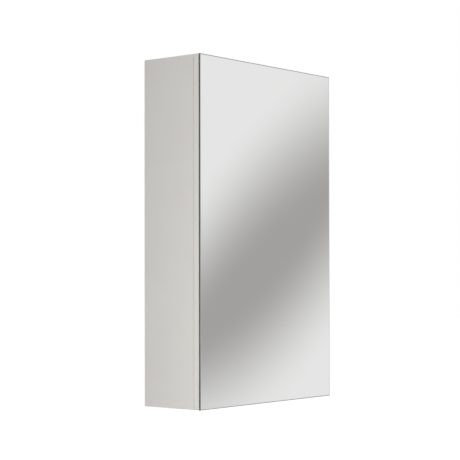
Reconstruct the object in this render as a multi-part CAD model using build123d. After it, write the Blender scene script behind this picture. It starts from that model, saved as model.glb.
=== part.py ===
from build123d import *
from math import atan2, degrees, sqrt
import os

# A wall cabinet with one mirrored door on two concealed hinges and two glass shelves.
# X runs right seen from the room, Y towards the wall and Z up. The wall plane is y = 0,
# and the middle of the wall side is the origin. Lengths are in millimetres.

# Overall size, door included
WIDTH = 450.0
HEIGHT = 720.0
DEPTH = 152.0

# Boards and sheets
BOARD = 16.0
BANDING = 1.0
BACK_SHEET = 3.0
RAIL_HEIGHT = 60.0
FINGER_SPACE = 20.0
GROOVE_DEPTH = 6.0
FIT = 0.1
OVERCUT = 1.0

# Door
MIRROR_THICKNESS = 4.0
MIRROR_ARRIS = 0.5
BACKING = 0.6
BACKING_INSET = 0.2
DOOR_BOARD = 12.0
DOOR_GAP = 1.0
BUMPER_RADIUS = 4.0
BUMPER_CLEARANCE = 0.1
BUMPER_INSET = 40.0

# Glass shelves and their pins
SHELF_GLASS = 5.0
SHELF_DEPTH = 98.0
SHELF_END_GAP = 1.8
SHELF_BACK_GAP = 1.5
SHELF_EDGE = 0.8
SHELF_COUNT = 2
PIN_HOLE_RADIUS = 2.5
PIN_HOLE_DEPTH = 9.0
PIN_PITCH = 32.0
PIN_HOLES = 5
PIN_ROW_SETBACK = 37.0
PIN_FROM_SHELF_REAR = 20.0
PIN_LENGTH = 8.0
PIN_FLANGE = 1.2
PIN_FLANGE_RADIUS = 4.0
TONGUE_LENGTH = 10.0
TONGUE_WIDTH = 8.0
TONGUE_DROP = 2.0
TONGUE_RISE = 0.5
PAD = 1.0
PAD_GAP = 0.05

# Wall screw holes
WALL_HOLE_RADIUS = 3.0
WALL_HOLE_SPACING = 300.0
WALL_HOLE_FROM_END = 60.0

# Carcass connectors
CAM_RADIUS = 7.5
CAM_HEIGHT = 12.0
CAM_INSET = 24.0
CAM_FROM_FRONT = 37.0
CAM_FROM_BACK_SHEET = 15.0
CAM_SLOT = 1.2
CAM_COVER_RADIUS = 8.5
CAM_COVER = 0.8
BOLT_RADIUS = 3.0
BOLT_IN_SIDE = 11.0
DOWEL_RADIUS = 4.0
DOWEL_LENGTH = 30.0
DOWEL_IN_SIDE = 11.0
RAIL_DOWEL_SPACING = 32.0

# Hinges. In a hinge's own plan, u runs into the cabinet from the side panel's inner face
# and v runs out to the room from the carcass front.
HINGE_FROM_END = 100.0
CUP_RADIUS = 17.5
CUP_WALL = 1.0
CUP_FLOOR = 0.8
CUP_DEPTH = 9.5
CUP_EDGE = 3.0
RIM_RELIEF = 1.6
RIM_RELIEF_WIDTH = 4.0
WING_WIDTH = 14.0
WING = 1.0
CUP_SCREW_PITCH = 48.0
CUP_SCREW_RADIUS = 1.5
CUP_SCREW_LENGTH = 8.0
CUP_SCREW_HEAD = 2.8
CUP_SCREW_SINK = 0.7
CUP_SCREW_COVER = 2.0
LONG_ARM_PIVOT = (16.5, -20.0)
LONG_CUP_PIVOT = (-8.5, 3.5)
LONG_BENDS = ((5.0, -2.0), (0.7, 3.8))
SHORT_ARM_PIVOT = (11.2, 6.2)
SHORT_CUP_PIVOT = (-4.7, 6.6)
SHORT_LINK_END = (-4.7, 7.6)
LINK_WIDTH = 3.5
LINK_INNER = 0.4
LINK_OUTER = 5.8
HINGE_PIN_RADIUS = 1.0
PIN_SLACK = 0.06
PIN_END_GAP = 0.2
CHEEK_INNER = 6.2
CHEEK_OUTER = 8.0
PLATE = 2.5
PLATE_WING = 24.0
PLATE_SCREW_PITCH = 32.0
PLATE_SETBACK = 37.0
PLATE_SCREW_RADIUS = 2.4
PLATE_SCREW_LENGTH = 12.0
PLATE_SCREW_HEAD = 4.0
PLATE_SCREW_HEAD_HEIGHT = 2.0
RECESS_WIDTH = 0.9
RECESS_DEPTH = 0.6
BOSS_TOP = 8.0
BOSS_HALF = 6.0
ARM_REAR = 58.0
ARM_TOP = 20.0
ARM_REAR_TOP = 13.0
ARM_EDGE_RADIUS = 2.0
ARM_FRONT_FOOT = 8.0
ARM_FOOT_GAP = 0.5
ARM_NOSE = 0.7
ARM_SLOT_REAR = 29.0
ARM_SLOT_FRONT = 20.0
ROOF = 1.5
ROOF_FRONT = 3.0
PLATE_REAR_MARGIN = 2.0
PLATE_CORNER = 3.0
FIXING_SCREW_SETBACK = 48.0
FIXING_SCREW_HEIGHT = 6.0
SIDE_SCREW_SETBACK = 35.0
SIDE_SCREW_HEIGHT = 9.0
ADJUSTER_RADIUS = 2.5

# Planes and faces worked out from the sizes above
INNER_X = WIDTH / 2 - BOARD
TOP_Z = HEIGHT / 2
FLOOR_Z = -TOP_Z + FINGER_SPACE + BOARD
CEILING_Z = TOP_Z - BOARD
MIRROR_REAR = -DEPTH + MIRROR_THICKNESS
DOOR_FACE = MIRROR_REAR + BACKING
DOOR_REAR = DOOR_FACE + DOOR_BOARD
FRONT = DOOR_REAR + DOOR_GAP
BOARD_FRONT = FRONT + BANDING
BACK_FRONT = -BOARD - BACK_SHEET
HINGE_HEIGHTS = {"upper": TOP_Z - HINGE_FROM_END, "lower": -TOP_Z + HINGE_FROM_END}
CUP_CENTRE = -BOARD + CUP_EDGE + CUP_RADIUS
PIN_ROWS = (FRONT + PIN_ROW_SETBACK, BACK_FRONT - SHELF_BACK_GAP - PIN_FROM_SHELF_REAR)
SHELF_SPACE = (CEILING_Z - FLOOR_Z) / (SHELF_COUNT + 1)
SHELF_BOTTOMS = [FLOOR_Z + SHELF_SPACE * (i + 1) for i in range(SHELF_COUNT)]
PIN_DROP = TONGUE_RISE + PAD + PAD_GAP
CAM_ROWS = (FRONT + CAM_FROM_FRONT, BACK_FRONT - CAM_FROM_BACK_SHEET)
DOWEL_ROW = sum(CAM_ROWS) / 2
SIDES = (-1, 1)


def block(x, y, z):
    """A box between a low and a high bound on each axis."""
    size = Box(x[1] - x[0], y[1] - y[0], z[1] - z[0])
    return Pos((x[0] + x[1]) / 2, (y[0] + y[1]) / 2, (z[0] + z[1]) / 2) * size


def rod_x(x0, x1, y, z, radius):
    """A round rod along X from x0 to x1."""
    return Pos((x0 + x1) / 2, y, z) * Rot(0, 90, 0) * Cylinder(radius, abs(x1 - x0))


def rod_y(x, y0, y1, z, radius):
    """A round rod along Y from y0 to y1."""
    return Pos(x, (y0 + y1) / 2, z) * Rot(90, 0, 0) * Cylinder(radius, abs(y1 - y0))


def rod_z(x, y, z0, z1, radius):
    """A round rod along Z from z0 to z1."""
    return Pos(x, y, (z0 + z1) / 2) * Cylinder(radius, abs(z1 - z0))


def save(name, shapes):
    """Write one node, which may hold several identical pieces."""
    pieces = shapes if isinstance(shapes, list) else [shapes]
    solids = [solid for piece in pieces for solid in piece.solids()]
    whole = solids[0] if len(solids) == 1 else Compound(solids)
    export_step(whole, f"parts/{name}.step")


def in_hinge(shape, z):
    """Place a shape drawn in the hinge plan at a hinge's height."""
    return Pos(INNER_X, FRONT, z) * Rot(0, 0, 180) * shape


def cam_places():
    """Side, bolt height, panel face with the cam's mouth, way in and row of each connector."""
    for side in SIDES:
        for panel_low, face_z, inward in ((CEILING_Z, TOP_Z, -1), (FLOOR_Z - BOARD, FLOOR_Z - BOARD, 1)):
            for y in CAM_ROWS:
                yield side, panel_low + BOARD / 2, face_z, inward, y


def dowel_places():
    """Side and centre line of each dowel between the sides and the top and bottom panels."""
    for side in SIDES:
        for z in (CEILING_Z + BOARD / 2, FLOOR_Z - BOARD / 2):
            yield side, DOWEL_ROW, z


def rail_dowel_places():
    """Side and centre line of each dowel between the sides and the two rails."""
    for side in SIDES:
        for rail_z in (CEILING_Z - RAIL_HEIGHT / 2, FLOOR_Z + RAIL_HEIGHT / 2):
            for offset in (-RAIL_DOWEL_SPACING / 2, RAIL_DOWEL_SPACING / 2):
                yield side, -BOARD / 2, rail_z + offset


def wall_holes():
    """Centre of each wall screw hole."""
    for x in (-WALL_HOLE_SPACING / 2, WALL_HOLE_SPACING / 2):
        for z in (TOP_Z - WALL_HOLE_FROM_END, -TOP_Z + WALL_HOLE_FROM_END):
            yield x, z


def pin_axis(bottom):
    """Height of the pin holes that carry a shelf with this underside."""
    return bottom - PIN_DROP


def side_panel(side):
    """A side with its back groove, shelf pin holes, connector and dowel holes, and on the
    right one the hinge screws' holes."""
    outer = side * WIDTH / 2
    inner = side * INNER_X
    open_face = inner - side * OVERCUT
    panel = block(sorted((inner, outer)), (BOARD_FRONT, 0), (-TOP_Z + BANDING, TOP_Z - BANDING))
    groove_x = sorted((open_face, inner + side * GROOVE_DEPTH))
    groove_z = (FLOOR_Z - GROOVE_DEPTH, CEILING_Z + GROOVE_DEPTH)
    cuts = [block(groove_x, (BACK_FRONT - FIT, -BOARD + FIT), groove_z)]
    for bottom in SHELF_BOTTOMS:
        for row in PIN_ROWS:
            for step in range(PIN_HOLES):
                z = pin_axis(bottom) + (step - PIN_HOLES // 2) * PIN_PITCH
                cuts.append(rod_x(open_face, inner + side * PIN_HOLE_DEPTH, row, z, PIN_HOLE_RADIUS))
    for where, z, _, _, y in cam_places():
        if where == side:
            end = inner + side * (BOLT_IN_SIDE + FIT)
            cuts.append(rod_x(open_face, end, y, z, BOLT_RADIUS + FIT))
    for where, y, z in (*dowel_places(), *rail_dowel_places()):
        if where == side:
            end = inner + side * (DOWEL_IN_SIDE + FIT)
            cuts.append(rod_x(open_face, end, y, z, DOWEL_RADIUS + FIT))
    if side > 0:
        end = inner + PLATE_SCREW_LENGTH + FIT
        for height in HINGE_HEIGHTS.values():
            for offset in (-PLATE_SCREW_PITCH / 2, PLATE_SCREW_PITCH / 2):
                hole = rod_x(open_face, end, FRONT + PLATE_SETBACK, height + offset, PLATE_SCREW_RADIUS + FIT)
                cuts.append(hole)
    for cut in cuts:
        panel -= cut
    return panel


def level_panel(low, groove_side):
    """The top or bottom panel, with the back groove on its inner face and the connectors'
    pockets on its outer one."""
    panel = block((-INNER_X, INNER_X), (BOARD_FRONT, 0), (low, low + BOARD))
    edge = low if groove_side < 0 else low + BOARD
    groove_x = (-INNER_X - OVERCUT, INNER_X + OVERCUT)
    groove_z = sorted((edge + groove_side * OVERCUT, edge - groove_side * GROOVE_DEPTH))
    panel -= block(groove_x, (BACK_FRONT - FIT, -BOARD + FIT), groove_z)
    for side, z, face_z, inward, y in cam_places():
        if abs(z - low - BOARD / 2) > FIT:
            continue
        centre = side * (INNER_X - CAM_INSET)
        outside = face_z - inward * OVERCUT
        panel -= rod_x(centre, side * (INNER_X + OVERCUT), y, z, BOLT_RADIUS + FIT)
        panel -= rod_z(centre, y, outside, face_z + inward * (CAM_COVER + CAM_HEIGHT + FIT), CAM_RADIUS + FIT)
        panel -= rod_z(centre, y, outside, face_z + inward * CAM_COVER, CAM_COVER_RADIUS + FIT)
    for side, y, z in dowel_places():
        if abs(z - low - BOARD / 2) < FIT:
            panel -= dowel_bore(side, y, z)
    return panel


def dowel_bore(side, y, z):
    """The bore for a dowel in the end of a panel or rail."""
    start = side * (INNER_X - (DOWEL_LENGTH - DOWEL_IN_SIDE) - FIT)
    return rod_x(start, side * (INNER_X + OVERCUT), y, z, DOWEL_RADIUS + FIT)


def back_sheet():
    """The thin back, held in the grooves and drilled for the wall screws."""
    reach = GROOVE_DEPTH - 2 * FIT
    half_width = INNER_X + reach
    heights = (FLOOR_Z - reach, CEILING_Z + reach)
    sheet = block((-half_width, half_width), (BACK_FRONT, -BOARD), heights)
    for x, z in wall_holes():
        sheet -= rod_y(x, BACK_FRONT - OVERCUT, OVERCUT - BOARD, z, WALL_HOLE_RADIUS)
    return sheet


def rail(low):
    """A fixing rail behind the back sheet, flush with the wall."""
    board = block((-INNER_X, INNER_X), (-BOARD, 0), (low, low + RAIL_HEIGHT))
    for x, z in wall_holes():
        if low < z < low + RAIL_HEIGHT:
            board -= rod_y(x, -BOARD - OVERCUT, OVERCUT, z, WALL_HOLE_RADIUS)
    for side, y, z in rail_dowel_places():
        if low < z < low + RAIL_HEIGHT:
            board -= dowel_bore(side, y, z)
    return board


def side_banding():
    """The tapes on the front edges of both sides."""
    strips = []
    for side in SIDES:
        x = sorted((side * INNER_X, side * WIDTH / 2))
        strips.append(block(x, (FRONT, BOARD_FRONT), (-TOP_Z, TOP_Z)))
    return strips


def side_end_banding():
    """The tapes on the top and bottom ends of both sides."""
    strips = []
    for side in SIDES:
        x = sorted((side * INNER_X, side * WIDTH / 2))
        for end in SIDES:
            z = sorted((end * TOP_Z, end * (TOP_Z - BANDING)))
            strips.append(block(x, (BOARD_FRONT, 0), z))
    return strips


def level_banding(low):
    """The tape on the front edge of the top or bottom panel."""
    return block((-INNER_X, INNER_X), (FRONT, BOARD_FRONT), (low, low + BOARD))


def cams():
    """Slotted cams that pull the bolts, sunk under their covers."""
    pieces = []
    for side, z, face_z, inward, y in cam_places():
        centre = side * (INNER_X - CAM_INSET)
        near = face_z + inward * CAM_COVER
        cam = rod_z(centre, y, near, near + inward * CAM_HEIGHT, CAM_RADIUS)
        mouth = centre + side * (CAM_RADIUS + OVERCUT)
        cam -= rod_x(centre - side * (BOLT_RADIUS + FIT), mouth, y, z, BOLT_RADIUS + FIT)
        slot_x = (centre - CAM_RADIUS / 2, centre + CAM_RADIUS / 2)
        slot_z = sorted((near - inward * OVERCUT, near + inward * CAM_SLOT))
        cam -= block(slot_x, (y - CAM_SLOT / 2, y + CAM_SLOT / 2), slot_z)
        pieces.append(cam)
    return pieces


def cam_bolts():
    """Bolts from the sides into the cams."""
    pieces = []
    for side, z, _, _, y in cam_places():
        start = side * (INNER_X - CAM_INSET)
        pieces.append(rod_x(start, side * (INNER_X + BOLT_IN_SIDE), y, z, BOLT_RADIUS))
    return pieces


def cam_covers():
    """Flush caps over the cams."""
    pieces = []
    for side, _, face_z, inward, y in cam_places():
        centre = side * (INNER_X - CAM_INSET)
        pieces.append(rod_z(centre, y, face_z, face_z + inward * CAM_COVER, CAM_COVER_RADIUS))
    return pieces


def dowels(places):
    """Round dowels at the given joints."""
    pieces = []
    for side, y, z in places:
        start = side * (INNER_X + DOWEL_IN_SIDE)
        pieces.append(rod_x(start, start - side * DOWEL_LENGTH, y, z, DOWEL_RADIUS))
    return pieces


def shelf(bottom):
    """A glass shelf with polished arrises."""
    x = INNER_X - SHELF_END_GAP
    rear = BACK_FRONT - SHELF_BACK_GAP
    glass = block((-x, x), (rear - SHELF_DEPTH, rear), (bottom, bottom + SHELF_GLASS))
    return chamfer(glass.edges(), SHELF_EDGE)


def shelf_pin_parts():
    """The shelf pins, each a stem, a flange and a tongue, and the pads on their tongues."""
    pins = []
    pads = []
    for bottom in SHELF_BOTTOMS:
        for side in SIDES:
            for row in PIN_ROWS:
                z = pin_axis(bottom)
                face = side * INNER_X
                flange_face = face - side * PIN_FLANGE
                tip = flange_face - side * TONGUE_LENGTH
                pin = rod_x(face + side * PIN_LENGTH, flange_face, row, z, PIN_HOLE_RADIUS - FIT / 2)
                pin += rod_x(face, flange_face, row, z, PIN_FLANGE_RADIUS)
                tongue_y = (row - TONGUE_WIDTH / 2, row + TONGUE_WIDTH / 2)
                tongue_x = sorted((flange_face, tip))
                pin += block(tongue_x, tongue_y, (z - TONGUE_DROP, z + TONGUE_RISE))
                pins.append(pin)
                pads.append(block(tongue_x, tongue_y, (z + TONGUE_RISE, bottom - PAD_GAP)))
    return pins, pads


def bar(points, half_width, z0, z1):
    """A flat bar with round ends and bends that follows the points."""
    shape = None
    for point in points:
        knob = rod_z(point[0], point[1], z0, z1, half_width)
        shape = knob if shape is None else shape + knob
    for start, end in zip(points, points[1:]):
        du, dv = end[0] - start[0], end[1] - start[1]
        middle = ((start[0] + end[0]) / 2, (start[1] + end[1]) / 2, (z0 + z1) / 2)
        stretch = Box(sqrt(du * du + dv * dv), 2 * half_width, z1 - z0)
        shape += Pos(*middle) * Rot(0, 0, degrees(atan2(dv, du))) * stretch
    return shape


def cross_recess(radius):
    """A screwdriver's cross, centred on the origin, whose lower half sinks into a head."""
    arm = Box(2 * radius, RECESS_WIDTH, 2 * RECESS_DEPTH)
    return arm + Rot(0, 0, 90) * arm


def hinge_plate():
    """A cross-shaped plate on the side panel, with a boss that the arm sits on."""
    v = -PLATE_SETBACK
    rear = -ARM_REAR + PLATE_REAR_MARGIN
    wings = block((0, PLATE), (v - WING_WIDTH / 2, v + WING_WIDTH / 2), (-PLATE_WING, PLATE_WING))
    plate = fillet(wings.edges().filter_by(Axis.X), PLATE_CORNER)
    plate += block((0, PLATE), (rear, v + PLATE_WING), (-CHEEK_OUTER, CHEEK_OUTER))
    plate += block((0, BOSS_TOP), (rear, v + WING_WIDTH / 2), (-BOSS_HALF, BOSS_HALF))
    for offset in (-PLATE_SCREW_PITCH / 2, PLATE_SCREW_PITCH / 2):
        plate -= rod_x(-OVERCUT, PLATE + OVERCUT, v, offset, PLATE_SCREW_RADIUS + FIT)
    return plate


def plate_screw(offset):
    """A pan head screw through the plate into the side panel."""
    v = -PLATE_SETBACK
    top = PLATE + PLATE_SCREW_HEAD_HEIGHT
    screw = rod_x(-PLATE_SCREW_LENGTH, PLATE, v, offset, PLATE_SCREW_RADIUS)
    head = rod_x(PLATE, top, v, offset, PLATE_SCREW_HEAD)
    recess = Pos(top, v, offset) * Rot(0, 90, 0) * cross_recess(PLATE_SCREW_HEAD / 2)
    return screw + head - recess


def hinge_arm():
    """A bent sheet channel: two cheeks, a solid rear half over the boss and a roof bridge."""
    nose_u, nose_v = SHORT_ARM_PIVOT
    reach = LINK_WIDTH / 2 + ARM_NOSE
    foot = PLATE + ARM_FOOT_GAP
    outline = Polyline(
        (foot, -ARM_REAR), (ARM_REAR_TOP, -ARM_REAR), (ARM_TOP, -ARM_REAR / 2),
        (ARM_TOP, LONG_ARM_PIVOT[1] + reach), (nose_u + reach, nose_v),
        (nose_u - reach, nose_v), (foot, -ARM_FRONT_FOOT), close=True)
    side = make_face(outline)
    corners = side.vertices().sort_by(Axis.X)[-4:-1]
    side = fillet([c for c in corners if c.Y < LONG_ARM_PIVOT[1] + reach + FIT], ARM_EDGE_RADIUS)
    side += Pos(nose_u, nose_v) * Circle(reach)
    solid = extrude(side, amount=CHEEK_OUTER, both=True)
    channel = (-CHEEK_INNER, CHEEK_INNER)
    solid -= block((0, BOSS_TOP), (-ARM_REAR - OVERCUT, nose_v - reach), channel)
    solid -= block((0, ARM_TOP + OVERCUT), (-ARM_SLOT_REAR, ARM_SLOT_FRONT), channel)
    roof_v = (-ARM_SLOT_REAR - OVERCUT, LONG_ARM_PIVOT[1] + ROOF_FRONT)
    solid += block((ARM_TOP - ROOF, ARM_TOP), roof_v, channel)
    for u, v in (LONG_ARM_PIVOT, SHORT_ARM_PIVOT):
        solid -= rod_z(u, v, -CHEEK_OUTER - OVERCUT, CHEEK_OUTER + OVERCUT, HINGE_PIN_RADIUS + FIT / 2)
    for setback in (FIXING_SCREW_SETBACK, SIDE_SCREW_SETBACK):
        solid -= rod_x(BOSS_TOP - OVERCUT, ARM_TOP + OVERCUT, -setback, 0, ADJUSTER_RADIUS + FIT)
    return solid


def arm_pins():
    """Stub pins in the arm's cheeks: the long link turns below the middle, the short one above."""
    end = LINK_INNER - PIN_END_GAP
    low = rod_z(*LONG_ARM_PIVOT, -CHEEK_OUTER, -end, HINGE_PIN_RADIUS)
    high = rod_z(*SHORT_ARM_PIVOT, end, CHEEK_OUTER, HINGE_PIN_RADIUS)
    return [low, high]


def cup_pin_reach(pivot):
    """Half span of a cup pin, whose end is seated in the cup's wall and stays inside it."""
    side = abs(pivot[0] - CUP_CENTRE) + HINGE_PIN_RADIUS
    return sqrt((CUP_RADIUS - 2 * FIT) ** 2 - side ** 2)


def cup_pins():
    """The long link turns on its pin. The short link's end lies beside its pin with a gap."""
    low = rod_z(*LONG_CUP_PIVOT, -cup_pin_reach(LONG_CUP_PIVOT), -LINK_INNER + PIN_END_GAP, HINGE_PIN_RADIUS)
    start = LINK_OUTER + PIN_END_GAP
    high = rod_z(*SHORT_CUP_PIVOT, start, cup_pin_reach(SHORT_CUP_PIVOT), HINGE_PIN_RADIUS)
    return [low, high]


def long_link():
    """The bent link, on the low side of the hinge's middle."""
    points = (LONG_ARM_PIVOT, *LONG_BENDS, LONG_CUP_PIVOT)
    link = bar(points, LINK_WIDTH / 2, -LINK_OUTER, -LINK_INNER)
    for u, v in (LONG_ARM_PIVOT, LONG_CUP_PIVOT):
        link -= rod_z(u, v, -LINK_OUTER - OVERCUT, 0, HINGE_PIN_RADIUS + PIN_SLACK)
    return link


def short_link():
    """The straight link, on the high side, open at its cup end."""
    link = bar((SHORT_ARM_PIVOT, SHORT_LINK_END), LINK_WIDTH / 2, LINK_INNER, LINK_OUTER)
    u, v = SHORT_ARM_PIVOT
    return link - rod_z(u, v, 0, LINK_OUTER + OVERCUT, HINGE_PIN_RADIUS + PIN_SLACK)


def cup_form(front, slack):
    """The cup's outer form from a front plane: a round pot with two wings for its screws."""
    form = rod_y(CUP_CENTRE, front, DOOR_GAP + CUP_DEPTH + slack, 0, CUP_RADIUS + slack)
    half_width = WING_WIDTH / 2 + slack
    half_length = CUP_SCREW_PITCH / 2 + CUP_SCREW_HEAD + CUP_SCREW_COVER + slack
    wings = block((CUP_CENTRE - half_width, CUP_CENTRE + half_width),
                  (front, DOOR_GAP + WING + slack), (-half_length, half_length))
    return form + fillet(wings.edges().filter_by(Axis.Y), PLATE_CORNER)


def cup_screw_places():
    """Heights of a cup's screws from the hinge's middle."""
    return (-CUP_SCREW_PITCH / 2, CUP_SCREW_PITCH / 2)


def hinge_cup():
    """The pot with its bore, the rim's relief for the long link, pin seats and screw holes."""
    cup = cup_form(DOOR_GAP, 0)
    bore_end = DOOR_GAP + CUP_DEPTH - CUP_FLOOR
    cup -= rod_y(CUP_CENTRE, 0, bore_end, 0, CUP_RADIUS - CUP_WALL)
    rim = CUP_CENTRE - CUP_RADIUS + CUP_WALL / 2
    relief_z = (-LINK_OUTER - LINK_INNER, 0)
    cup -= block((rim, rim + RIM_RELIEF_WIDTH), (0, DOOR_GAP + RIM_RELIEF), relief_z)
    for pivot, side in ((LONG_CUP_PIVOT, -1), (SHORT_CUP_PIVOT, 1)):
        end = side * (cup_pin_reach(pivot) + FIT / 2)
        cup -= rod_z(*pivot, 0, end, HINGE_PIN_RADIUS + FIT / 2)
    for z in cup_screw_places():
        cup -= rod_y(CUP_CENTRE, 0, DOOR_GAP + WING + OVERCUT, z, CUP_SCREW_RADIUS + FIT)
        cup -= rod_y(CUP_CENTRE, 0, DOOR_GAP + CUP_SCREW_SINK, z, CUP_SCREW_HEAD + FIT)
    return cup


def cup_screw(z):
    """A flat head screw, flush with the cup's wing."""
    screw = rod_y(CUP_CENTRE, DOOR_GAP, DOOR_GAP + CUP_SCREW_LENGTH, z, CUP_SCREW_RADIUS)
    screw += rod_y(CUP_CENTRE, DOOR_GAP, DOOR_GAP + CUP_SCREW_SINK, z, CUP_SCREW_HEAD)
    return screw - Pos(CUP_CENTRE, DOOR_GAP, z) * Rot(90, 0, 0) * cross_recess(CUP_SCREW_HEAD / 2)


def door_board():
    """The door's board, with the hinge cups' pockets and screw holes in its rear."""
    x = WIDTH / 2 - BANDING
    z = TOP_Z - BANDING
    board = block((-x, x), (DOOR_FACE, DOOR_REAR), (-z, z))
    for height in HINGE_HEIGHTS.values():
        board -= in_hinge(cup_form(0, FIT), height)
        for offset in cup_screw_places():
            depth = DOOR_GAP + CUP_SCREW_LENGTH + FIT
            board -= in_hinge(rod_y(CUP_CENTRE, 0, depth, offset, CUP_SCREW_RADIUS + FIT), height)
    return board


def door_banding_uprights():
    """The tapes on the door board's upright edges."""
    strips = []
    for side in SIDES:
        x = sorted((side * WIDTH / 2, side * (WIDTH / 2 - BANDING)))
        strips.append(block(x, (DOOR_FACE, DOOR_REAR), (-TOP_Z, TOP_Z)))
    return strips


def door_banding_ends():
    """The tapes on the door board's top and bottom edges, between the upright ones."""
    x = WIDTH / 2 - BANDING
    strips = []
    for end in SIDES:
        z = sorted((end * TOP_Z, end * (TOP_Z - BANDING)))
        strips.append(block((-x, x), (DOOR_FACE, DOOR_REAR), z))
    return strips


def mirror_glass():
    """The mirror over the whole front, its front edges arrissed."""
    glass = block((-WIDTH / 2, WIDTH / 2), (-DEPTH, MIRROR_REAR), (-TOP_Z, TOP_Z))
    front = glass.faces().sort_by(Axis.Y)[0]
    return chamfer(front.edges(), MIRROR_ARRIS)


def mirror_backing():
    """The film and bond between the mirror and the door board."""
    x = WIDTH / 2 - BACKING_INSET
    z = TOP_Z - BACKING_INSET
    return block((-x, x), (MIRROR_REAR, DOOR_FACE), (-z, z))


def bumpers():
    """Soft discs on the left side's front edge, where the closed door meets the carcass."""
    x = -(INNER_X + BOARD / 2)
    pieces = []
    for end in SIDES:
        z = end * (TOP_Z - BUMPER_INSET)
        pieces.append(rod_y(x, FRONT, DOOR_REAR + BUMPER_CLEARANCE, z, BUMPER_RADIUS))
    return pieces


def adjusters():
    """The fixing screw and the side adjusting screw, upright on the arm's rear half."""
    pieces = []
    for setback, height in ((FIXING_SCREW_SETBACK, FIXING_SCREW_HEIGHT), (SIDE_SCREW_SETBACK, SIDE_SCREW_HEIGHT)):
        top = BOSS_TOP + height
        recess = Pos(top, -setback, 0) * Rot(0, 90, 0) * cross_recess(ADJUSTER_RADIUS / 2)
        pieces.append(rod_x(BOSS_TOP, top, -setback, 0, ADJUSTER_RADIUS) - recess)
    return pieces


def main():
    """Writes every node of the cabinet."""
    os.makedirs("parts", exist_ok=True)
    save("side_panel_left", side_panel(-1))
    save("side_panel_right", side_panel(1))
    save("top_panel", level_panel(CEILING_Z, -1))
    save("bottom_panel", level_panel(FLOOR_Z - BOARD, 1))
    save("back_sheet", back_sheet())
    save("rail_upper", rail(CEILING_Z - RAIL_HEIGHT))
    save("rail_lower", rail(FLOOR_Z))
    save("side_banding", side_banding())
    save("side_end_banding", side_end_banding())
    save("top_banding", level_banding(CEILING_Z))
    save("bottom_banding", level_banding(FLOOR_Z - BOARD))
    save("cams", cams())
    save("cam_bolts", cam_bolts())
    save("cam_covers", cam_covers())
    save("panel_dowels", dowels(dowel_places()))
    save("rail_dowels", dowels(rail_dowel_places()))
    save("bumpers", bumpers())
    pins, pads = shelf_pin_parts()
    save("shelf_pins", pins)
    save("shelf_pads", pads)
    for name, bottom in zip(("lower", "upper"), SHELF_BOTTOMS):
        save(f"shelf_{name}", shelf(bottom))

    turning_pins = []
    door_pins = []
    plate_screws = []
    cup_screws = []
    arm_screws = []
    for name, z in HINGE_HEIGHTS.items():
        save(f"hinge_{name}_plate", in_hinge(hinge_plate(), z))
        save(f"hinge_{name}_arm", in_hinge(hinge_arm(), z))
        save(f"hinge_{name}_long_link", in_hinge(long_link(), z))
        save(f"hinge_{name}_short_link", in_hinge(short_link(), z))
        save(f"hinge_{name}_cup", in_hinge(hinge_cup(), z))
        turning_pins += [in_hinge(pin, z) for pin in arm_pins()]
        door_pins += [in_hinge(pin, z) for pin in cup_pins()]
        plate_screws += [in_hinge(plate_screw(s * PLATE_SCREW_PITCH / 2), z) for s in SIDES]
        cup_screws += [in_hinge(cup_screw(offset), z) for offset in cup_screw_places()]
        arm_screws += [in_hinge(screw, z) for screw in adjusters()]
    save("hinge_arm_pins", turning_pins)
    save("hinge_cup_pins", door_pins)
    save("hinge_plate_screws", plate_screws)
    save("hinge_cup_screws", cup_screws)
    save("hinge_adjusters", arm_screws)

    save("door_board", door_board())
    save("door_banding_uprights", door_banding_uprights())
    save("door_banding_ends", door_banding_ends())
    save("mirror_backing", mirror_backing())
    save("mirror_glass", mirror_glass())


main()
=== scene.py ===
import math

import bpy
from mathutils import Matrix, Vector


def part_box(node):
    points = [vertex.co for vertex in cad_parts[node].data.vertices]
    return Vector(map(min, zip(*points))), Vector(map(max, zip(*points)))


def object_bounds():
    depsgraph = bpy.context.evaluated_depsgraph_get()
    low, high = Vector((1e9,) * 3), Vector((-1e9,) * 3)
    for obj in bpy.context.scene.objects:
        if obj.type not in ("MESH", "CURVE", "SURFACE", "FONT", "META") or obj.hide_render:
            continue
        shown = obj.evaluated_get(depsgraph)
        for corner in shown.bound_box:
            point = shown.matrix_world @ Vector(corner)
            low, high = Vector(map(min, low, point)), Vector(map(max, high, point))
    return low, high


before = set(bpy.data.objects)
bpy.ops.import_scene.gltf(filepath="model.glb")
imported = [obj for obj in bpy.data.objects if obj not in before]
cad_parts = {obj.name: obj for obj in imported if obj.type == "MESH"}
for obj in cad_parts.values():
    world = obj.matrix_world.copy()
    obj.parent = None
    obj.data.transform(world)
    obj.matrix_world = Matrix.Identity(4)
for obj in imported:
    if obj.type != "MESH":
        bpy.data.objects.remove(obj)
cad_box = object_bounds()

# Camera, fitted to the cabinet's corners, door seam and mirror edges in a 460 pixel square frame
FRAME_PIXELS = 460
LENS_PIXELS = 1393.4
SENSOR_WIDTH = 36.0
CAMERA_PLACE = Vector((-2.3554, -1.9747, -0.0884))
CAMERA_YAW = math.radians(39.32)
CAMERA_RISE = math.radians(0.919)
CAMERA_ROLL = math.radians(-0.083)
CAMERA_SHIFT = 0.05

# Studio. The floor's glow is added to its own light in a view, so that it shows white
WHITE = (1.0, 1.0, 1.0)
ROOM_LIGHT = (0.515, 0.509, 0.500)
FLOOR_DROP = 0.9
FLOOR_REACH = 30.0
FLOOR_COLOUR = (0.8, 0.8, 0.8)
FLOOR_ROUGHNESS = 0.9
FLOOR_GLOW = 0.66

# Lamps: name, place, target, width, height and power in watts
LAMPS = (
    ("key", (-1.6, -2.6, 1.2), (0.0, -0.1, 0.0), 1.6, 1.6, 16.0),
    ("side_strip", (-0.68, -0.74, -0.22), (-0.22, -0.08, -0.06), 0.25, 1.6, 7.2),
)

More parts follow.
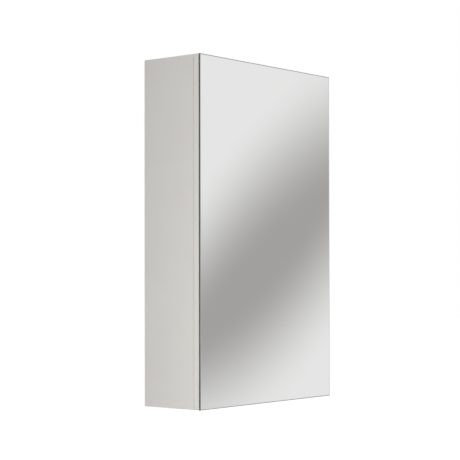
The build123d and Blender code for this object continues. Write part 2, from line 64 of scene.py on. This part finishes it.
# What polished faces see: a pale room with one soft dark band. Its place is a slope of the view,
# in units of 100 pixels of the frame, taken upwards from the view's middle row and to the right
# from the mirror's left edge. Each of its edges is a parabola: start, slope and bend. Each edge's
# softness is a width and its growth to the right
PATTERN_UNIT = 100 / LENS_PIXELS
PATTERN_LEFT = -0.26
PATTERN_WIDTH = 1.36
LEAST_AHEAD = 0.05
REFLECTED_LIGHT = (0.836, 0.836, 0.838)
REFLECTED_DARK = (0.384, 0.377, 0.366)
UPPER_EDGE = (0.066, 1.358, -0.287)
LOWER_EDGE = (-1.407, 0.427, 0.443)
UPPER_SOFTNESS = (1.465, 0.0)
LOWER_SOFTNESS = (1.227, 0.312)

# Colours of the finishes, linear
LAMINATE = (0.625, 0.613, 0.588)
BANDING = (0.632, 0.620, 0.595)
HARDBOARD = (0.640, 0.632, 0.612)
NICKEL = (0.72, 0.70, 0.67)
CAST_ZINC = (0.55, 0.55, 0.54)
PLATED_STEEL = (0.66, 0.66, 0.66)
CLEAR_PAD = (0.62, 0.64, 0.63)
WHITE_PLASTIC = (0.66, 0.65, 0.63)
BOND_FILM = (0.52, 0.52, 0.50)
BEECH_DARK = (0.50, 0.33, 0.17)
BEECH_LIGHT = (0.68, 0.49, 0.29)
SHELF_FACE = (0.965, 0.985, 0.975)
SHELF_EDGE_DARK = (0.24, 0.47, 0.39)
SHELF_EDGE_LIGHT = (0.34, 0.58, 0.50)

# Mirror: colours, then the widths of its arris, of its grey satin border, which is a painted
# reflection of the glass edge, and of the pale back of its edge, which is a painted highlight
MIRROR_SILVER = (0.935, 0.935, 0.930)
# Painted reflection: a grey satin border round the mirror's face, in place of the glass edge seen
# through the front
MIRROR_BORDER_PAINTED_REFLECTION = (0.74, 0.76, 0.75)
GLASS_EDGE = (0.014, 0.044, 0.029)
# Painted highlight: a pale colour at the back of the glass edge, next to the silvering
GLASS_REAR_EDGE_PAINTED_HIGHLIGHT = (0.42, 0.45, 0.42)
GLASS_ARRIS = (0.035, 0.060, 0.048)
ARRIS_WIDTH = 0.0009
PAINTED_REFLECTION_WIDTH = 0.0021
REAR_HIGHLIGHT_DEPTH = 0.0012

# Parts of a face's direction that tell a mirror's front, its arris and a shelf's flat faces
FRONT_FACING = -0.95
ARRIS_FACING = -0.3
FLAT_FACING = 0.6

# The span that most of a noise's values lie in
NOISE_LOW = 0.3
NOISE_HIGH = 0.7

# Sockets of a colour mix
MIX_FIRST = 6
MIX_SECOND = 7
MIX_RESULT = 2


class Nodes:
    """Short ways to add nodes to a tree. A value is a number, a colour or a node's output."""

    def __init__(self, tree):
        self.tree = tree

    def add(self, kind, **settings):
        node = self.tree.nodes.new(kind)
        for key, value in settings.items():
            setattr(node, key, value)
        return node

    def feed(self, socket, value):
        """Gives a socket its value."""
        if isinstance(value, (int, float)):
            socket.default_value = value
        elif isinstance(value, tuple):
            socket.default_value = (*value, 1.0)
        else:
            self.tree.links.new(value, socket)

    def math(self, operation, *values):
        node = self.add("ShaderNodeMath", operation=operation)
        for socket, value in zip(node.inputs, values):
            self.feed(socket, value)
        return node.outputs["Value"]

    def between(self, value, low, high, start=NOISE_LOW, end=NOISE_HIGH, **settings):
        """Low up to start, high from end on, and in between by the value."""
        node = self.add("ShaderNodeMapRange", **settings)
        names = ("Value", "From Min", "From Max", "To Min", "To Max")
        for name, given in zip(names, (value, start, end, low, high)):
            self.feed(node.inputs[name], given)
        return node.outputs["Result"]

    def choose(self, flag, unset, chosen):
        """One number where a flag is 0 and another where it is 1."""
        return self.between(flag, unset, chosen, 0.0, 1.0)

    def blend(self, factor, first, second):
        """A colour between two."""
        node = self.add("ShaderNodeMix", data_type="RGBA")
        self.feed(node.inputs["Factor"], factor)
        self.feed(node.inputs[MIX_FIRST], first)
        self.feed(node.inputs[MIX_SECOND], second)
        return node.outputs[MIX_RESULT]

    def background(self, colour):
        node = self.add("ShaderNodeBackground")
        self.feed(node.inputs["Color"], colour)
        return node.outputs["Background"]

    def mix_shaders(self, factor, first, second):
        node = self.add("ShaderNodeMixShader")
        for socket, value in zip(node.inputs, (factor, first, second)):
            self.feed(socket, value)
        return node.outputs["Shader"]

    def seen_directly(self, path):
        """1 for a camera's ray, also where it has passed through glass, and 0 for the others."""
        seen = self.math("ADD", path.outputs["Is Camera Ray"], path.outputs["Is Transmission Ray"])
        return self.math("MINIMUM", seen, 1.0)


class Finish(Nodes):
    """A node material with one principled shader, patterned in the object's own space."""

    def __init__(self, name):
        self.material = bpy.data.materials.new(name)
        self.material.use_nodes = True
        super().__init__(self.material.node_tree)
        self.shader = self.tree.nodes["Principled BSDF"]
        self.place = self.add("ShaderNodeTexCoord")

    def set(self, **values):
        """Gives sockets of the shader their values."""
        for key, value in values.items():
            self.feed(self.shader.inputs[key.replace("_", " ")], value)

    def axis(self, source, name):
        """One axis of the place or direction of a point."""
        node = self.add("ShaderNodeSeparateXYZ")
        self.feed(node.inputs["Vector"], self.place.outputs[source])
        return node.outputs[name]

    def noise(self, scale, detail=2.0, stretch=(1.0, 1.0, 1.0)):
        mapping = self.add("ShaderNodeMapping")
        mapping.inputs["Scale"].default_value = stretch
        self.feed(mapping.inputs["Vector"], self.place.outputs["Object"])
        node = self.add("ShaderNodeTexNoise")
        self.feed(node.inputs["Vector"], mapping.outputs["Vector"])
        self.feed(node.inputs["Scale"], scale)
        self.feed(node.inputs["Detail"], detail)
        return node.outputs["Fac"]

    def toned(self, pattern, first, second):
        """A colour between two by a noise."""
        return self.blend(self.between(pattern, 0.0, 1.0), first, second)

    def tone(self, pattern, colour, darker, lighter):
        """Colours the finish by a noise, from darker to lighter times one colour."""
        self.set(Base_Color=self.toned(pattern, shade(colour, darker), shade(colour, lighter)))

    def relief(self, pattern, height, strength):
        """Fine bumps by a noise."""
        node = self.add("ShaderNodeBump")
        self.feed(node.inputs["Height"], pattern)
        self.feed(node.inputs["Distance"], height)
        self.feed(node.inputs["Strength"], strength)
        self.set(Normal=node.outputs["Normal"])


def shade(colour, factor):
    """A colour made lighter or darker by one factor."""
    return tuple(min(1.0, channel * factor) for channel in colour)


def laminate(name, colour):
    """Pale melamine: a fine orange peel, a faint cloudiness and nearly even gloss."""
    f = Finish(name)
    f.tone(f.noise(scale=9.0, detail=3.0), colour, 0.985, 1.015)
    f.set(Roughness=f.between(f.noise(scale=60.0, detail=3.0), 0.39, 0.47))
    f.relief(f.noise(scale=420.0), height=0.00004, strength=0.5)
    f.set(Specular_IOR_Level=0.45)
    return f.material


def edge_tape(name, colour):
    """Edge tape: smoother than the faces, with faint streaks along its run."""
    f = Finish(name)
    f.tone(f.noise(scale=30.0, detail=4.0, stretch=(8.0, 8.0, 0.6)), colour, 0.985, 1.01)
    f.set(Roughness=f.between(f.noise(scale=120.0), 0.34, 0.42))
    f.relief(f.noise(scale=700.0), height=0.00002, strength=0.4)
    return f.material


def hardboard(name, colour):
    """White faced hardboard for the back, a little more textured than the panels."""
    f = Finish(name)
    grain = f.noise(scale=180.0, detail=5.0)
    f.tone(grain, colour, 0.97, 1.01)
    f.set(Roughness=f.between(grain, 0.5, 0.6))
    f.relief(f.noise(scale=900.0, detail=4.0), height=0.00006, strength=0.6)
    return f.material


def mirror_finish():
    """Silvered glass: a mirror with a grey satin border that is a painted reflection of the glass
    edge, a dark arris, and an edge whose back is made pale by a painted highlight.
    """
    f = Finish("mirror_silvered")
    _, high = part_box("mirror_glass")
    facing = f.axis("Normal", "Y")
    from_side = f.math("SUBTRACT", high[0], f.math("ABSOLUTE", f.axis("Object", "X")))
    from_end = f.math("SUBTRACT", high[2], f.math("ABSOLUTE", f.axis("Object", "Z")))
    from_edge = f.math("MINIMUM", from_side, from_end)
    inside = f.math("GREATER_THAN", from_edge, ARRIS_WIDTH)
    front = f.math("MULTIPLY", f.math("LESS_THAN", facing, FRONT_FACING), inside)
    # Painted reflection: the face turns grey and dull in a border along its edges, in place of the
    # glass edge seen through the front
    painted_reflection_band = f.math("LESS_THAN", from_edge, PAINTED_REFLECTION_WIDTH)
    # Painted highlight: the back of the edge is coloured pale, next to the silvering
    rear_highlight = f.math("GREATER_THAN", f.axis("Object", "Y"), high[1] - REAR_HIGHLIGHT_DEPTH)
    tone = f.noise(scale=260.0, detail=3.0, stretch=(1.0, 6.0, 0.3))
    edge = f.toned(tone, shade(GLASS_EDGE, 0.8), shade(GLASS_EDGE, 1.25))
    edge = f.blend(rear_highlight, edge, GLASS_REAR_EDGE_PAINTED_HIGHLIGHT)
    edge = f.blend(f.math("LESS_THAN", facing, ARRIS_FACING), edge, GLASS_ARRIS)
    face = f.blend(painted_reflection_band, MIRROR_SILVER, MIRROR_BORDER_PAINTED_REFLECTION)
    face_roughness = f.choose(painted_reflection_band, 0.004, 0.6)
    f.set(
        Base_Color=f.blend(front, edge, face),
        Metallic=front,
        Roughness=f.choose(front, 0.14, face_roughness))
    return f.material


def shelf_glass():
    """Clear float glass: colourless through its faces and green along its edges."""
    f = Finish("shelf_float_glass")
    flat = f.math("GREATER_THAN", f.math("ABSOLUTE", f.axis("Normal", "Z")), FLAT_FACING)
    streak = f.noise(scale=40.0, detail=3.0, stretch=(0.2, 0.2, 4.0))
    edge = f.toned(streak, SHELF_EDGE_DARK, SHELF_EDGE_LIGHT)
    smear = f.between(f.noise(scale=14.0, detail=4.0), 0.0, 0.02)
    f.set(
        Base_Color=f.blend(flat, edge, SHELF_FACE),
        Roughness=f.choose(flat, 0.16, smear),
        Transmission_Weight=f.choose(flat, 0.25, 1.0),
        IOR=1.5)
    return f.material


def plated(name, colour, roughness, grain=(1.0, 1.0, 1.0)):
    """Plated or cast metal with a faint grain along one axis."""
    f = Finish(name)
    streak = f.noise(scale=420.0, stretch=grain)
    f.tone(streak, colour, 0.97, 1.02)
    f.set(Metallic=1.0, Roughness=f.between(streak, roughness - 0.03, roughness + 0.04))
    f.relief(streak, height=0.00001, strength=0.15)
    return f.material


def moulded(name, colour, roughness):
    """Moulded plastic or rubber with a faint sparked texture."""
    f = Finish(name)
    speck = f.noise(scale=1500.0)
    f.tone(speck, colour, 0.97, 1.02)
    f.set(Roughness=f.between(speck, roughness - 0.04, roughness + 0.05))
    f.relief(speck, height=0.00002, strength=0.3)
    return f.material


def beech():
    """Beech dowel: fine flecks that run along its length."""
    f = Finish("beech_dowel")
    grain = f.noise(scale=220.0, detail=5.0, stretch=(0.15, 1.0, 1.0))
    f.set(Base_Color=f.toned(grain, BEECH_DARK, BEECH_LIGHT), Roughness=f.between(grain, 0.5, 0.65))
    f.relief(grain, height=0.00005, strength=0.5)
    return f.material


def dress():
    """Gives every node of the model its finish."""
    board = laminate("pale_laminate", LAMINATE)
    nickel = plated("nickel_plate", NICKEL, 0.24, (1.0, 0.3, 1.0))
    steel = plated("zinc_plated_steel", PLATED_STEEL, 0.3, (0.2, 1.0, 1.0))
    clear = moulded("clear_pad", CLEAR_PAD, 0.3)
    by_name = {
        "back_sheet": hardboard("white_hardboard", HARDBOARD),
        "mirror_glass": mirror_finish(),
        "mirror_backing": moulded("mirror_bond", BOND_FILM, 0.5),
        "door_board": laminate("door_laminate", BANDING),
        "cams": plated("cast_zinc", CAST_ZINC, 0.42),
        "cam_covers": moulded("white_plastic", WHITE_PLASTIC, 0.4),
        "bumpers": clear,
        "shelf_pads": clear,
        "shelf_pins": nickel,
    }
    # Other nodes by a piece of their name, the first that fits
    by_word = (
        ("shelf_", shelf_glass()),
        ("banding", edge_tape("edge_tape", BANDING)),
        ("dowels", beech()),
        ("screws", steel),
        ("bolts", steel),
        ("adjusters", steel),
        ("hinge_", nickel),
        ("", board),
    )
    for name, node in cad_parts.items():
        fitting = (finish for word, finish in by_word if word in name)
        node.data.materials.clear()
        node.data.materials.append(by_name.get(name) or next(fitting))


def camera():
    """The camera at the photograph's place, turned by its yaw, rise and roll."""
    forward = Vector((
        math.cos(CAMERA_YAW) * math.cos(CAMERA_RISE),
        math.sin(CAMERA_YAW) * math.cos(CAMERA_RISE),
        math.sin(CAMERA_RISE)))
    right = Vector((math.sin(CAMERA_YAW), -math.cos(CAMERA_YAW), 0.0))
    up = right.cross(forward)
    turned_right = right * math.cos(CAMERA_ROLL) + up * math.sin(CAMERA_ROLL)
    turned_up = up * math.cos(CAMERA_ROLL) - right * math.sin(CAMERA_ROLL)
    data = bpy.data.cameras.new("camera")
    data.sensor_width = SENSOR_WIDTH
    data.lens = LENS_PIXELS / FRAME_PIXELS * SENSOR_WIDTH
    data.shift_y = CAMERA_SHIFT
    obj = bpy.data.objects.new("camera", data)
    turn = Matrix((turned_right, turned_up, -forward)).transposed().to_4x4()
    obj.matrix_world = Matrix.Translation(CAMERA_PLACE) @ turn
    bpy.context.scene.collection.objects.link(obj)
    bpy.context.scene.camera = obj
    return forward, right


def dark_band(n, forward, right):
    """How dark the room is in a direction, from 0 to 1."""
    direction = n.add("ShaderNodeTexCoord").outputs["Generated"]

    def along(vector):
        node = n.add("ShaderNodeVectorMath", operation="DOT_PRODUCT")
        n.feed(node.inputs[0], direction)
        node.inputs[1].default_value = vector
        return node.outputs["Value"]

    # The mirror turns the view about its own plane, so what it shows lies along these axes
    ahead = along((forward.x, -forward.y, forward.z))
    side = along((right.x, -right.y, 0.0))
    height = along((-forward.z * math.cos(CAMERA_YAW), forward.z * math.sin(CAMERA_YAW), 1.0))
    unit = n.math("MULTIPLY", n.math("MAXIMUM", ahead, LEAST_AHEAD), PATTERN_UNIT)
    rise = n.math("DIVIDE", height, unit)
    across = n.math("SUBTRACT", n.math("DIVIDE", side, unit), PATTERN_LEFT)
    across = n.math("MINIMUM", n.math("MAXIMUM", across, 0.0), PATTERN_WIDTH)

    def above(edge, softness):
        """0 below an edge of the band and 1 above it, with a soft step between."""
        start, slope, bend = edge
        width, growth = softness
        curve = n.math("MULTIPLY_ADD", across, n.math("MULTIPLY_ADD", across, bend, slope), start)
        soft = n.math("MULTIPLY_ADD", across, growth, width)
        step = n.math("DIVIDE", n.math("SUBTRACT", rise, curve), soft)
        return n.between(step, 0.0, 1.0, -0.5, 0.5, interpolation_type="SMOOTHSTEP")

    below_upper = n.math("SUBTRACT", 1.0, above(UPPER_EDGE, UPPER_SOFTNESS))
    return n.math("MULTIPLY", below_upper, above(LOWER_EDGE, LOWER_SOFTNESS))


def studio(forward, right):
    """Even room light. A view shows it white, and polished faces see the room with its dark band."""
    world = bpy.data.worlds.new("studio")
    bpy.context.scene.world = world
    world.use_nodes = True
    n = Nodes(world.node_tree)
    n.tree.nodes.clear()
    band = n.blend(dark_band(n, forward, right), REFLECTED_LIGHT, REFLECTED_DARK)
    path = n.add("ShaderNodeLightPath")
    glossy = path.outputs["Is Glossy Ray"]
    light = n.mix_shaders(glossy, n.background(ROOM_LIGHT), n.background(band))
    shown = n.mix_shaders(n.seen_directly(path), light, n.background(WHITE))
    n.feed(n.add("ShaderNodeOutputWorld").inputs["Surface"], shown)


def lamp(name, place, target, width, height, power):
    """A soft lamp turned to a target, which neither the camera nor a polished face sees."""
    data = bpy.data.lights.new(name, "AREA")
    data.shape = "RECTANGLE"
    data.size = width
    data.size_y = height
    data.energy = power
    obj = bpy.data.objects.new(name, data)
    obj.location = place
    obj.rotation_euler = (Vector(target) - Vector(place)).to_track_quat("-Z", "Y").to_euler()
    obj.visible_glossy = False
    obj.visible_camera = False
    bpy.context.scene.collection.objects.link(obj)


def floor():
    """A wide pale floor below the cabinet. It shows white, and grey where the cabinet shades it."""
    z = cad_box[0][2] - FLOOR_DROP
    reach = FLOOR_REACH
    corners = [(-reach, -reach, z), (reach, -reach, z), (reach, reach, z), (-reach, reach, z)]
    mesh = bpy.data.meshes.new("floor")
    mesh.from_pydata(corners, [], [(0, 1, 2, 3)])
    obj = bpy.data.objects.new("floor", mesh)
    bpy.context.scene.collection.objects.link(obj)
    obj.visible_glossy = False
    f = Finish("studio_floor")
    f.set(Base_Color=FLOOR_COLOUR, Roughness=FLOOR_ROUGHNESS, Specular_IOR_Level=0.0)
    glow = f.add("ShaderNodeEmission")
    seen = f.seen_directly(f.add("ShaderNodeLightPath"))
    f.feed(glow.inputs["Color"], WHITE)
    f.feed(glow.inputs["Strength"], f.math("MULTIPLY", seen, FLOOR_GLOW))
    both = f.add("ShaderNodeAddShader")
    f.feed(both.inputs[0], f.shader.outputs["BSDF"])
    f.feed(both.inputs[1], glow.outputs["Emission"])
    f.feed(f.tree.nodes["Material Output"].inputs["Surface"], both.outputs["Shader"])
    mesh.materials.append(f.material)


dress()
forward, right = camera()
studio(forward, right)
floor()
for settings in LAMPS:
    lamp(*settings)

bpy.context.scene.view_settings.view_transform = "Standard"
